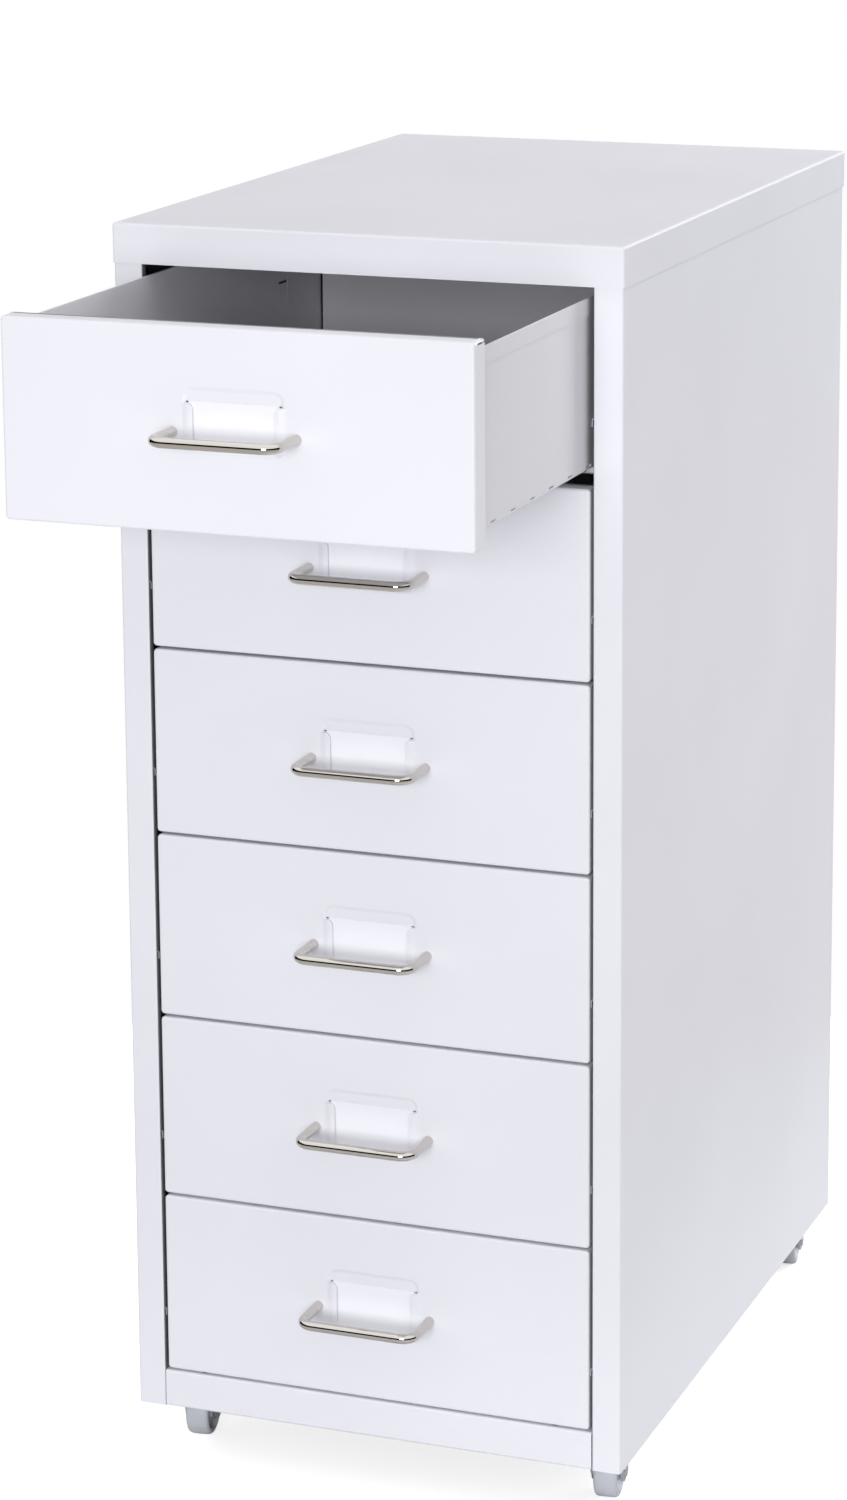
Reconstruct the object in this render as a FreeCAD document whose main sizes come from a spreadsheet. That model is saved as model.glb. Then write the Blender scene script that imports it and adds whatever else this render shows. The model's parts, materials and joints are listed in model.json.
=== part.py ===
"""Rolling pedestal cabinet: a folded sheet steel carcass with six drawers on four casters.

The frame stands on the floor at z = 0, with its origin under the middle of the carcass.
+X points to the cabinet's right as seen from the front, the drawers open towards -Y, and
+Z is up. All sizes are millimetres.
"""

import FreeCAD, Part
import math
import os

import Sketcher

DRAWERS = 6
OPEN_DRAWER = 1

doc = FreeCAD.newDocument("pedestal_cabinet")

# ---------------------------------------------------------------- driving dimensions

DIMENSIONS = [
    ("cover_width", 280, "outside width, over the top cover"),
    ("cover_depth", 415, "outside depth, over the top cover"),
    ("full_height", 690, "floor to the top face"),
    ("sheet", 0.6, "steel sheet of the carcass and the drawers"),
    ("bend", 1.5, "outside radius of a visible fold"),
    ("rear_bend", 2.5, "outside radius of the side panel's rear fold"),
    ("cover_skirt", 21, "height of the cover's folded skirt"),
    ("post_face", 16, "width of the side panel's front fold"),
    ("post_return", 4, "depth of the lip behind that fold"),
    ("back_fold", 15, "width of the side panel's rear fold"),
    ("side_bottom", 35, "floor to the bottom edge of the side panels"),
    ("rail_face", 21, "height of the plinth rail"),
    ("rail_top_fold", 12, "depth of the plinth rail's top fold"),
    ("rail_bottom_fold", 10, "depth of the plinth rail's bottom fold"),
    ("pan_height", 46, "floor to the underside of the base pan"),
    ("pan_sheet", 1.2, "sheet of the base pan"),
    ("pan_fold", 10, "height of the base pan's side folds"),
    ("slot_base", 56.5, "floor to the lowest drawer's slot"),
    ("slot_pitch", 102, "height of one drawer's slot"),
    ("front_gap", 1.6, "gap between two drawer fronts"),
    ("front_width", 243.7, "width of a drawer front"),
    ("front_return", 14, "depth of the drawer front's side and bottom folds"),
    ("front_top_fold", 13.2, "depth of the drawer front's top fold"),
    ("front_hem", 3, "height of the hem that ends the top fold"),
    ("front_corner", 2, "corner radius of a drawer front"),
    ("tray_width", 240.2, "outside width of the tray's walls"),
    ("tray_start", 11.5, "front face to the tray's front wall"),
    ("tray_length", 389, "length of the tray"),
    ("tray_floor", 8.7, "slot bottom to the tray's underside"),
    ("tray_height", 87.8, "height of the tray's walls"),
    ("tray_hem", 8.5, "height of the hem folded out round the tray's rim"),
    ("tray_slot_pitch", 28, "pitch of the tab slots along the tray's foot"),
    ("stop_place", 345, "front face to the middle of the stop tab"),
    ("stop_width", 13, "width of the stop tab"),
    ("stop_height", 18, "height of the stop tab"),
    ("stop_foot", 50, "slot bottom to the foot of the stop tab"),
    ("stop_cut", 1.5, "width of the cut round the stop tab"),
    ("drawn_out", 167, "how far the top drawer stands open at rest"),
    ("handle_span", 64, "centre distance of the handle's legs"),
    ("handle_reach", 27, "front face to the handle's centre line"),
    ("handle_wire", 5.5, "diameter of the handle's wire"),
    ("handle_bend", 7, "centre line radius of the handle's bends"),
    ("handle_drop", 1.2, "how far the handle lies below the front's middle"),
    ("screw_wire", 4, "diameter of the handle screws"),
    ("screw_depth", 8, "depth of the tapped hole in the handle's legs"),
    ("screw_tip", 0.5, "clear depth past the screw's tip"),
    ("screw_head", 2.4, "height of the screw's head"),
    ("holder_width", 51.4, "width of the label holder"),
    ("holder_top", 20.6, "front's middle to the holder's top edge"),
    ("holder_corner", 5, "radius of the holder's top corners"),
    ("holder_foot", 11.5, "front's middle down to the holder's lower edge"),
    ("holder_sink", 0.7, "how far the holder's field is pressed in"),
    ("holder_lip", 4.8, "width of the holder's side lips"),
    ("lip_rise", 1, "how far the lips stand out from the front"),
    ("lip_root", 0.5, "how far a lip's root lies outside the field"),
    ("lip_top", 13.2, "front's middle to the top of the lips"),
    ("card_top", 14.2, "front's middle to the card's top edge"),
    ("card_sheet", 0.35, "thickness of the card"),
    ("card_play", 0.4, "clear space below the card, and from the field's floor to its face"),
    ("runner_foot", 4.5, "slot bottom to the runner's underside"),
    ("runner_height", 31.4, "height of a runner"),
    ("runner_shelf", 26.4, "width of the runner's bottom fold"),
    ("runner_top_fold", 16.5, "width of the runner's top fold"),
    ("runner_curl", 4.5, "height of the runner's curled edge"),
    ("runner_nose", 10.8, "how far the top fold reaches out in front of the shelf"),
    ("runner_start", 15, "front face to the runner's front end"),
    ("runner_length", 380, "length of a runner"),
    ("glide_length", 18, "length of a nylon glide"),
    ("glide_width", 5, "width of a nylon glide"),
    ("glide_rise", 2.9, "height of a nylon glide"),
    ("buffer_radius", 3, "radius of a rubber button"),
    ("buffer_rise", 0.9, "height of a rubber button"),
    ("buffer_across", 203.2, "distance between the two rubber buttons"),
    ("buffer_setback", 6, "carcass's face to a button's middle"),
    ("caster_across", 240, "distance between casters across the cabinet"),
    ("caster_along", 349, "distance between casters front to back"),
    ("caster_turn", 8, "angle by which the casters stand turned"),
    ("trail", 14, "distance of the wheel's axle behind the swivel"),
    ("wheel_radius", 15, "radius of a caster wheel"),
    ("wheel_width", 13, "width of a caster wheel"),
    ("tread_round", 1.6, "radius of the tread's shoulders"),
    ("rim_inside", 12, "inner radius of the wheel's rim"),
    ("dish_outside", 10.8, "outer radius of the dish in the wheel's side"),
    ("dish_inside", 6, "inner radius of that dish"),
    ("dish_depth", 2.6, "depth of that dish"),
    ("hub_radius", 5.2, "radius of the wheel's hub"),
    ("axle_wire", 5, "diameter of the wheel's axle"),
    ("axle_head", 1, "height of the axle's riveted heads"),
    ("head_rim", 1.4, "how far a head stands out round the axle"),
    ("head_edge", 0.9, "the same at the head's outer edge"),
    ("fork_gap", 14.4, "clear width between the fork's legs"),
    ("fork_sheet", 1.6, "sheet of the fork's legs"),
    ("fork_front", 8, "swivel to the front edge of the fork's legs"),
    ("fork_back", 9.5, "swivel to the back edge of the legs under the crown"),
    ("fork_knee", 3, "depth of the legs' straight top, below the crown"),
    ("fork_boss", 6, "half the width of a leg round the axle"),
    ("fork_foot", 5.5, "corner radius of a leg's foot"),
    ("crown_radius", 11, "radius of the fork's crown"),
    ("crown_base", 41, "floor to the underside of the crown"),
    ("crown_sheet", 2.4, "thickness of the crown"),
    ("race_gap", 0.4, "height of the ball races above and below the crown"),
    ("plate_lip", 0.8, "how far the stem's plate stands out over the crown"),
    ("kingpin_wire", 6, "diameter of the swivel's kingpin"),
    ("rivet_lip", 1.5, "how far the kingpin's rivet stands out"),
    ("rivet_rise", 1.6, "height of that rivet"),
    ("stem_wire", 8, "diameter of the caster's threaded stem"),
    ("stem_top", 60, "floor to the end of the stem"),
    ("nut_radius", 7.5, "radius over the corners of a stem's nut"),
    ("nut_height", 6.5, "height of that nut"),
    ("running_fit", 0.05, "radial clearance of a turning fit"),
]

sizes = doc.addObject("Spreadsheet::Sheet", "Sizes")
for row, (alias, number, meaning) in enumerate(DIMENSIONS, start=1):
    sizes.set(f"A{row}", meaning)
    sizes.set(f"B{row}", str(number))
    sizes.setAlias(f"B{row}", alias)
doc.recompute()

SHEET_NAMES = [alias for alias, number, meaning in DIMENSIONS]

# Lengths that follow from the driving dimensions, in the sheet's own words.
BODY_HALF = "(cover_width / 2 - sheet)"
FACE = "(-cover_depth / 2 + sheet)"
REAR = "(cover_depth / 2 - sheet)"
SIDE_INNER = "(cover_width / 2 - 2 * sheet)"
UNDER_COVER = "(full_height - sheet)"
FRONT_LOW = "(front_gap / 2)"
FRONT_HIGH = "(slot_pitch - front_gap / 2)"
FRONT_MIDDLE = "(slot_pitch / 2)"

KEPT = []


def bound(formula):
    """Write a formula of sheet words so that an object outside the sheet can use it."""
    out = ""
    word = ""
    for letter in formula + " ":
        if letter.isalnum() or letter == "_":
            word += letter
            continue
        out += "Sizes." + word if word in SHEET_NAMES else word
        out += letter
        word = ""
    return out.strip()


def length_of(formula):
    """The present length of a formula of sheet words."""
    answer = sizes.evalExpression(bound(formula))
    return float(getattr(answer, "Value", answer))


def keep(thing, label):
    """Name a finished sub-part after its file."""
    thing.Label = label
    KEPT.append(thing)
    return thing


def place(thing, across="0", along="0", up="0"):
    """Bind an object's place to three formulas."""
    thing.setExpression("Placement.Base.x", bound(across))
    thing.setExpression("Placement.Base.y", bound(along))
    thing.setExpression("Placement.Base.z", bound(up))
    return thing


def sketch_on(body, plane, name, offset="0"):
    """Start a sketch on one of the body's own origin planes, moved along its normal."""
    sketch = body.newObject("Sketcher::SketchObject", name)
    role = [part for part in body.Origin.OriginFeatures if part.Role == plane][0]
    sketch.AttachmentSupport = (role, [""])
    sketch.MapMode = "FlatFace"
    sketch.setExpression("AttachmentOffset.Base.z", bound(offset))
    return sketch


def pin_point(sketch, piece, end, across, along):
    """Hold one point of a sketch at two formulas from the origin."""
    spots = (("DistanceX", across), ("DistanceY", along))
    for kind, formula in spots:
        rule = Sketcher.Constraint(kind, -1, 1, piece, end, length_of(formula))
        index = sketch.addConstraint(rule)
        sketch.setExpression(f"Constraints[{index}]", bound(formula))


def outline(sketch, corners):
    """Close a straight-sided outline through corners given as pairs of formulas."""
    points = [FreeCAD.Vector(length_of(a), length_of(b), 0) for a, b in corners]
    first = sketch.GeometryCount
    count = len(points)
    for index in range(count):
        line = Part.LineSegment(points[index], points[(index + 1) % count])
        sketch.addGeometry(line, False)
    for index in range(count):
        after = first + (index + 1) % count
        sketch.addConstraint(Sketcher.Constraint("Coincident", first + index, 2, after, 1))
    for index, (across, along) in enumerate(corners):
        pin_point(sketch, first + index, 1, across, along)


def rectangle(sketch, left, right, low, high):
    outline(sketch, [(left, low), (right, low), (right, high), (left, high)])


def circle(sketch, across, along, radius):
    centre = FreeCAD.Vector(length_of(across), length_of(along), 0)
    ring = Part.Circle(centre, FreeCAD.Vector(0, 0, 1), length_of(radius))
    index = sketch.addGeometry(ring, False)
    pin_point(sketch, index, 3, across, along)
    rule = sketch.addConstraint(Sketcher.Constraint("Radius", index, length_of(radius)))
    sketch.setExpression(f"Constraints[{rule}]", bound(radius))


def new_body(name):
    return doc.addObject("PartDesign::Body", name)


def pad(body, sketch, depth, backwards=False, middle=False):
    """Add material along a sketch's normal, the other way, or evenly to both sides."""
    feature = body.newObject("PartDesign::Pad", sketch.Name + "_pad")
    feature.Profile = sketch
    feature.setExpression("Length", bound(depth))
    feature.Reversed = backwards
    if middle:
        feature.SideType = "Symmetric"
    doc.recompute()
    return feature


def pocket(body, sketch, depth=None, backwards=False, middle=False):
    """Take material away behind a sketch, to a depth or right through."""
    before = body.Shape.Volume
    feature = body.newObject("PartDesign::Pocket", sketch.Name + "_cut")
    feature.Profile = sketch
    feature.Type = "ThroughAll" if depth is None else "Length"
    if depth is not None:
        feature.setExpression("Length", bound(depth))
    feature.Reversed = backwards
    if middle:
        feature.SideType = "Symmetric"
    doc.recompute()
    if body.Shape.Volume > before - 0.001:
        raise RuntimeError(f"{feature.Name} cut nothing from {body.Name}")
    return feature


def edges_where(shape, test):
    """Names of the edges whose both ends and middle pass a test."""
    names = []
    for number, edge in enumerate(shape.Edges, start=1):
        ends = [vertex.Point for vertex in edge.Vertexes]
        middle = edge.valueAt((edge.FirstParameter + edge.LastParameter) / 2)
        if all(test(point) for point in ends + [middle]):
            names.append(f"Edge{number}")
    return names


def fillet(body, radius, test):
    """Round the edges of the body's last feature that pass a test."""
    base = body.Tip
    names = edges_where(base.Shape, test)
    if not names:
        raise RuntimeError(f"no edge of {body.Name} to round")
    feature = body.newObject("PartDesign::Fillet", body.Name + "_round")
    feature.Base = (base, names)
    feature.setExpression("Radius", bound(radius))
    doc.recompute()
    return feature


def near(number, wanted, slack=0.01):
    return abs(number - wanted) < slack


def block(name, across, along, up, width, depth, height):
    """A box whose low corner and three sides are formulas."""
    solid = doc.addObject("Part::Box", name)
    solid.setExpression("Length", bound(width))
    solid.setExpression("Width", bound(depth))
    solid.setExpression("Height", bound(height))
    return place(solid, across, along, up)


def rod(name, radius, length, turn=None):
    """A round bar along +Z from the origin, or along the axis that a turn gives it."""
    solid = doc.addObject("Part::Cylinder", name)
    solid.setExpression("Radius", bound(radius))
    solid.setExpression("Height", bound(length))
    if turn:
        solid.Placement = FreeCAD.Placement(FreeCAD.Vector(), turn)
    return solid


def joined(name, pieces):
    """Pieces that are one solid in the metal."""
    whole = doc.addObject("Part::MultiFuse", name)
    whole.Shapes = pieces
    whole.Refine = True
    return whole


def gathered(name, pieces):
    """Like pieces that stay separate solids but share one node."""
    group = doc.addObject("Part::Compound", name)
    group.Links = pieces
    return group


# ---------------------------------------------------------------- carcass


def make_top_cover():
    """The inverted tray that closes the top, with a folded skirt on all four sides."""
    body = new_body("top_cover")
    side, end = "cover_width / 2", "cover_depth / 2"
    plan = sketch_on(body, "XY_Plane", "cover_plan", "full_height - cover_skirt")
    rectangle(plan, f"-{side}", side, f"-{end}", end)
    pad(body, plan, "cover_skirt")
    half_width = length_of(side)
    half_depth = length_of(end)
    top = length_of("full_height")

    def upright_corner(point):
        return near(abs(point.x), half_width) and near(abs(point.y), half_depth)

    fillet(body, "bend", upright_corner)
    fillet(body, "bend", lambda point: near(point.z, top))
    hollow = sketch_on(body, "XY_Plane", "cover_hollow", "full_height - sheet")
    rectangle(hollow, f"-{side} + sheet", f"{side} - sheet", f"-{end} + sheet", f"{end} - sheet")
    pocket(body, hollow)
    return keep(body, "top_cover")


def round_fold(body, across, along, outwards, inwards, radius):
    """Round an upright fold: first its inside edge, then its outside edge."""
    x, y = length_of(across), length_of(along)
    sheet = length_of("sheet")
    inside_x, inside_y = x - outwards * sheet, y + inwards * sheet
    fillet(body, f"{radius} - sheet", lambda point: near(point.x, inside_x) and near(point.y, inside_y))
    fillet(body, radius, lambda point: near(point.x, x) and near(point.y, y))


def make_side_panel(name, sign):
    """A side wall folded round the front into a post and round the back into a flange."""
    body = new_body(name)
    plan = sketch_on(body, "XY_Plane", name + "_plan", "side_bottom")
    post_inner = f"{sign} * ({BODY_HALF} - post_face)"
    post_inside = f"{sign} * ({BODY_HALF} - post_face + sheet)"
    back_edge = f"{sign} * ({BODY_HALF} - back_fold)"
    outer = f"{sign} * {BODY_HALF}"
    inner = f"{sign} * {SIDE_INNER}"
    outline(plan, [
        (outer, FACE),
        (outer, REAR),
        (back_edge, REAR),
        (back_edge, f"{REAR} - sheet"),
        (inner, f"{REAR} - sheet"),
        (inner, f"{FACE} + sheet"),
        (post_inside, f"{FACE} + sheet"),
        (post_inside, f"{FACE} + post_return"),
        (post_inner, f"{FACE} + post_return"),
        (post_inner, FACE),
    ])
    pad(body, plan, f"{UNDER_COVER} - side_bottom")
    round_fold(body, outer, REAR, sign, -1, "rear_bend")
    round_fold(body, outer, FACE, sign, 1, "bend")
    round_fold(body, post_inner, FACE, -sign, 1, "bend")
    return keep(body, name)


def make_back_panel():
    """A flat sheet spot-welded to the inside of the side panels' rear folds."""
    body = new_body("back_panel")
    plan = sketch_on(body, "XY_Plane", "back_plan", "side_bottom")
    half = f"({SIDE_INNER} - rear_bend + sheet - 0.1)"
    rectangle(plan, f"-{half}", half, f"{REAR} - 2 * sheet", f"{REAR} - sheet")
    pad(body, plan, f"{UNDER_COVER} - side_bottom")
    return keep(body, "back_panel")


def make_plinth_rail():
    """The channel between the posts under the lowest drawer."""
    body = new_body("plinth_rail")
    section = sketch_on(body, "YZ_Plane", "rail_section")
    top = "side_bottom + rail_face"
    outline(section, [
        (FACE, "side_bottom"),
        (f"{FACE} + rail_bottom_fold", "side_bottom"),
        (f"{FACE} + rail_bottom_fold", "side_bottom + sheet"),
        (f"{FACE} + sheet", "side_bottom + sheet"),
        (f"{FACE} + sheet", f"{top} - sheet"),
        (f"{FACE} + rail_top_fold", f"{top} - sheet"),
        (f"{FACE} + rail_top_fold", top),
        (FACE, top),
    ])
    pad(body, section, f"2 * ({BODY_HALF} - post_face - 0.15)", middle=True)
    for height in ("side_bottom", top):
        face, level = length_of(FACE), length_of(height)
        sheet = length_of("sheet")
        inside = level + sheet if height == "side_bottom" else level - sheet
        fillet(body, "bend - sheet", lambda point: near(point.y, face + sheet) and near(point.z, inside))
        fillet(body, "bend", lambda point: near(point.y, face) and near(point.z, level))
    return keep(body, "plinth_rail")


def make_base_pan():
    """The floor of the carcass, which carries the four casters."""
    body = new_body("base_pan")
    plan = sketch_on(body, "XY_Plane", "pan_plan", "pan_height")
    step = f"{FACE} + post_return + 0.6"
    tongue = f"({BODY_HALF} - post_face - 1)"
    back = f"{REAR} - rear_bend - 0.1"
    outline(plan, [
        (f"-{tongue}", f"{FACE} + sheet"),
        (tongue, f"{FACE} + sheet"),
        (tongue, step),
        (SIDE_INNER, step),
        (SIDE_INNER, back),
        (f"-{SIDE_INNER}", back),
        (f"-{SIDE_INNER}", step),
        (f"-{tongue}", step),
    ])
    pad(body, plan, "pan_sheet")
    folds = sketch_on(body, "XY_Plane", "pan_folds", "pan_height")
    rectangle(folds, f"-{SIDE_INNER}", f"-{SIDE_INNER} + pan_sheet", step, back)
    rectangle(folds, f"{SIDE_INNER} - pan_sheet", SIDE_INNER, step, back)
    pad(body, folds, "pan_fold")
    holes = sketch_on(body, "XY_Plane", "pan_holes", "pan_height")
    for across in ("-", ""):
        for along in ("-", ""):
            circle(holes, f"{across}caster_across / 2", f"{along}caster_along / 2", "stem_wire / 2")
    pocket(body, holes, backwards=True)
    return keep(body, "base_pan")


def make_runners(name, sign):
    """One channel per drawer, spot-welded to the inside of a side panel."""
    rails = []
    inner = f"({SIDE_INNER})" if sign > 0 else f"(-{SIDE_INNER})"

    def from_wall(reach):
        return f"{inner} - {reach}" if sign > 0 else inner

    for number in range(DRAWERS):
        foot = f"slot_base + {number} * slot_pitch + runner_foot"
        start = f"{FACE} + runner_start"
        nose = f"{start} - runner_nose"
        tag = f"{name}_{number}"
        top_sheet = f"{foot} + runner_height - sheet"
        curl_foot = f"{foot} + runner_height - runner_curl"
        curl_place = f"{inner} - {sign} * runner_top_fold"
        curl = curl_place if sign > 0 else f"{curl_place} - sheet"
        pieces = [
            block(tag + "_web", from_wall("sheet"), start, foot,
                  "sheet", "runner_length", "runner_height"),
            block(tag + "_shelf", from_wall("runner_shelf"), start, foot,
                  "runner_shelf", "runner_length", "sheet"),
            block(tag + "_top", from_wall("runner_top_fold"), nose, top_sheet,
                  "runner_top_fold", "runner_length + runner_nose", "sheet"),
            block(tag + "_curl", curl, nose, curl_foot,
                  "sheet", "runner_length + runner_nose", "runner_curl"),
        ]
        rails.append(joined(tag, pieces))
    return keep(gathered(name + "_group", rails), name)


def make_glides():
    """Nylon pads on the runners' front ends, on which the trays slide."""
    pads = []
    for number in range(DRAWERS):
        for sign in (-1, 1):
            middle = f"{sign} * (tray_width / 2 - glide_width / 2 - sheet)"
            up = f"slot_base + {number} * slot_pitch + runner_foot + sheet"
            pads.append(block(
                f"glide_{number}_{'left' if sign < 0 else 'right'}",
                f"{middle} - glide_width / 2",
                f"{FACE} + runner_start",
                up,
                "glide_width",
                "glide_length",
                "glide_rise",
            ))
    return keep(gathered("glides_group", pads), "runner_glides")


def make_buffers():
    """Two rubber buttons on the plinth rail that the lowest front rides over."""
    buttons = []
    for sign in (-1, 1):
        button = rod(f"buffer_{'left' if sign < 0 else 'right'}", "buffer_radius", "buffer_rise")
        place(button, f"{sign} * buffer_across / 2", f"{FACE} + buffer_setback", "side_bottom + rail_face")
        buttons.append(button)
    return keep(gathered("buffers_group", buttons), "rail_buffers")


# ---------------------------------------------------------------- drawers


def drawer_place(thing, number):
    """Move a drawer's piece from the drawer's own frame to its slot in the carcass.

    The drawer's frame has its front face at y = 0 and its slot's bottom at z = 0.
    """
    up = f"slot_base + {DRAWERS - number} * slot_pitch"
    along = f"{FACE} - drawn_out" if number == OPEN_DRAWER else FACE
    return place(thing, "0", along, up)


def make_drawer_front(number):
    """The folded front, with a label field pressed in and two lips that hold the card."""
    name = f"drawer_{number}_front"
    body = new_body(name)
    half = "front_width / 2"
    face = sketch_on(body, "XZ_Plane", name + "_face")
    rectangle(face, f"-{half}", half, FRONT_LOW, FRONT_HIGH)
    pad(body, face, "front_return", backwards=True)
    side = length_of(half)
    low = length_of(FRONT_LOW)
    high = length_of(FRONT_HIGH)

    def corner(point):
        return near(abs(point.x), side) and (near(point.z, low) or near(point.z, high))

    fillet(body, "front_corner", corner)
    fillet(body, "bend", lambda point: near(point.y, 0))

    hollow = sketch_on(body, "XZ_Plane", name + "_hollow", "-sheet")
    rectangle(hollow, f"-{half} + sheet", f"{half} - sheet",
              f"{FRONT_LOW} + sheet", f"{FRONT_HIGH} - sheet")
    pocket(body, hollow)
    step = sketch_on(body, "XZ_Plane", name + "_step", "-front_top_fold")
    rectangle(step, f"-{half} + 2 * sheet", f"{half} - 2 * sheet",
              f"{FRONT_HIGH} - 2 * sheet", f"{FRONT_HIGH} + 1")
    pocket(body, step)
    hem = sketch_on(body, "XZ_Plane", name + "_hem", "-front_top_fold + sheet")
    rectangle(hem, f"-{half} + front_hem", f"{half} - front_hem",
              f"{FRONT_HIGH} - front_hem", f"{FRONT_HIGH} - sheet / 2")
    pad(body, hem, "sheet", backwards=True)

    wide = "holder_width / 2"
    field_foot, field_head = f"{FRONT_MIDDLE} - holder_foot", f"{FRONT_MIDDLE} + holder_top"
    back = sketch_on(body, "XZ_Plane", name + "_field_back", "-sheet")
    rectangle(back, f"-{wide} - sheet", f"{wide} + sheet", f"{field_foot} - sheet", f"{field_head} + sheet")
    pad(body, back, "holder_sink", backwards=True)
    field = sketch_on(body, "XZ_Plane", name + "_field")
    rectangle(field, f"-{wide}", wide, field_foot, field_head)
    pocket(body, field, "holder_sink")
    field_side = length_of(wide)
    field_top = length_of(field_head)
    floor = length_of("holder_sink")

    def field_corner(point):
        return near(abs(point.x), field_side) and near(point.z, field_top) and point.y < floor + 0.01

    fillet(body, "holder_corner", field_corner)

    lips = sketch_on(body, "XY_Plane", name + "_lips", field_foot)
    for sign in (-1, 1):
        outer = f"{sign} * ({wide} + lip_root)"
        edge = f"{sign} * ({wide} - holder_lip)"
        under = "-lip_rise + sheet"
        outline(lips, [
            (outer, "sheet / 2"),
            (outer, "-lip_rise"),
            (edge, "-lip_rise"),
            (edge, under),
            (f"{sign} * {wide}", under),
            (f"{sign} * {wide}", "sheet / 2"),
        ])
    pad(body, lips, "holder_foot + lip_top")

    holes = sketch_on(body, "XZ_Plane", name + "_holes")
    for sign in (-1, 1):
        circle(holes, f"{sign} * handle_span / 2", f"{FRONT_MIDDLE} - handle_drop", "screw_wire / 2 + 0.2")
    pocket(body, holes, "2 * sheet")
    return keep(drawer_place(body, number), name)


def make_drawer_tray(number):
    """The folded tray: four walls with a hem round the rim, and a floor."""
    name = f"drawer_{number}_tray"
    body = new_body(name)
    half = "tray_width / 2"
    end = "tray_start + tray_length"
    walls = sketch_on(body, "XY_Plane", name + "_walls", "tray_floor")
    rectangle(walls, f"-{half}", half, "tray_start", end)
    pad(body, walls, "tray_height")
    rim = sketch_on(body, "XY_Plane", name + "_rim", "tray_floor + tray_height - tray_hem")
    rectangle(rim, f"-{half} - sheet", f"{half} + sheet", "front_return", f"{end} + sheet")
    pad(body, rim, "tray_hem")
    side = length_of(half)
    foot = length_of("tray_floor")

    def foot_fold(point):
        return near(abs(point.x), side) and near(point.z, foot)

    fillet(body, "bend", foot_fold)
    inside = sketch_on(body, "XY_Plane", name + "_inside", "tray_floor + sheet")
    rectangle(inside, f"-{half} + sheet", f"{half} - sheet", "tray_start + sheet", f"{end} - sheet")
    pocket(body, inside, backwards=True)

    stop = sketch_on(body, "YZ_Plane", name + "_stop")
    near_leg, far_leg = "stop_place - stop_width / 2", "stop_place + stop_width / 2"
    head = "stop_foot + stop_height"
    outline(stop, [
        (near_leg, "stop_foot"),
        (f"{near_leg} + stop_cut", "stop_foot"),
        (f"{near_leg} + stop_cut", f"{head} - stop_cut"),
        (f"{far_leg} - stop_cut", f"{head} - stop_cut"),
        (f"{far_leg} - stop_cut", "stop_foot"),
        (far_leg, "stop_foot"),
        (far_leg, head),
        (near_leg, head),
    ])
    pocket(body, stop, middle=True)

    slit = sketch_on(body, "XZ_Plane", name + "_slit", f"-({end}) + 2 * sheet")
    for sign in (-1, 1):
        outer = f"{sign} * ({half} - sheet)"
        inner = f"{sign} * ({half} - sheet - 1.2)"
        rectangle(slit, outer, inner, "tray_floor + 4", "tray_floor + tray_height - tray_hem")
    pocket(body, slit)

    tabs = sketch_on(body, "YZ_Plane", name + "_tabs")
    rectangle(tabs, "tray_start + 14", "tray_start + 22", "tray_floor + 1.6", "tray_floor + 2.7")
    first = pocket(body, tabs, middle=True)
    row_of_tabs = body.newObject("PartDesign::LinearPattern", name + "_tab_row")
    row_of_tabs.Originals = [first]
    row_of_tabs.Direction = (tabs, ["H_Axis"])
    count = int(length_of("(tray_length - 30) / tray_slot_pitch"))
    row_of_tabs.setExpression("Length", bound(f"tray_slot_pitch * {count - 1}"))
    row_of_tabs.Occurrences = count
    body.Tip = row_of_tabs
    doc.recompute()
    return keep(drawer_place(body, number), name)


def make_handle(number):
    """A pull bent from one piece of wire, with a tapped hole in the end of each leg."""
    name = f"drawer_{number}_handle"
    forward = FreeCAD.Rotation(FreeCAD.Vector(1, 0, 0), 90)
    sideways = FreeCAD.Rotation(FreeCAD.Vector(0, 1, 0), 90)
    height = f"{FRONT_MIDDLE} - handle_drop"
    elbow = "-handle_reach + handle_bend"
    pieces = []
    taps = []
    for side, sign, start in (("left", -1, 180), ("right", 1, 270)):
        leg = rod(f"{name}_{side}_leg", "handle_wire / 2", "handle_reach - handle_bend", forward)
        place(leg, f"{sign} * handle_span / 2", "0", height)
        bend = doc.addObject("Part::Torus", f"{name}_{side}_bend")
        bend.setExpression("Radius1", bound("handle_bend"))
        bend.setExpression("Radius2", bound("handle_wire / 2"))
        bend.Angle3 = 90
        bend.Placement = FreeCAD.Placement(
            FreeCAD.Vector(), FreeCAD.Rotation(FreeCAD.Vector(0, 0, 1), start)
        )
        place(bend, f"{sign} * (handle_span / 2 - handle_bend)", elbow, height)
        tap = rod(f"{name}_{side}_tap", "screw_wire / 2", "screw_depth", forward)
        place(tap, f"{sign} * handle_span / 2", "0", height)
        pieces += [leg, bend]
        taps.append(tap)
    bar = rod(f"{name}_bar", "handle_wire / 2", "handle_span - 2 * handle_bend", sideways)
    place(bar, "-handle_span / 2 + handle_bend", "-handle_reach", height)
    wire = joined(name + "_wire", pieces + [bar])
    both_taps = gathered(name + "_taps", taps)
    pull = doc.addObject("Part::Cut", name + "_pull")
    pull.Base = wire
    pull.Tool = both_taps
    return keep(drawer_place(pull, number), name)


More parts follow.
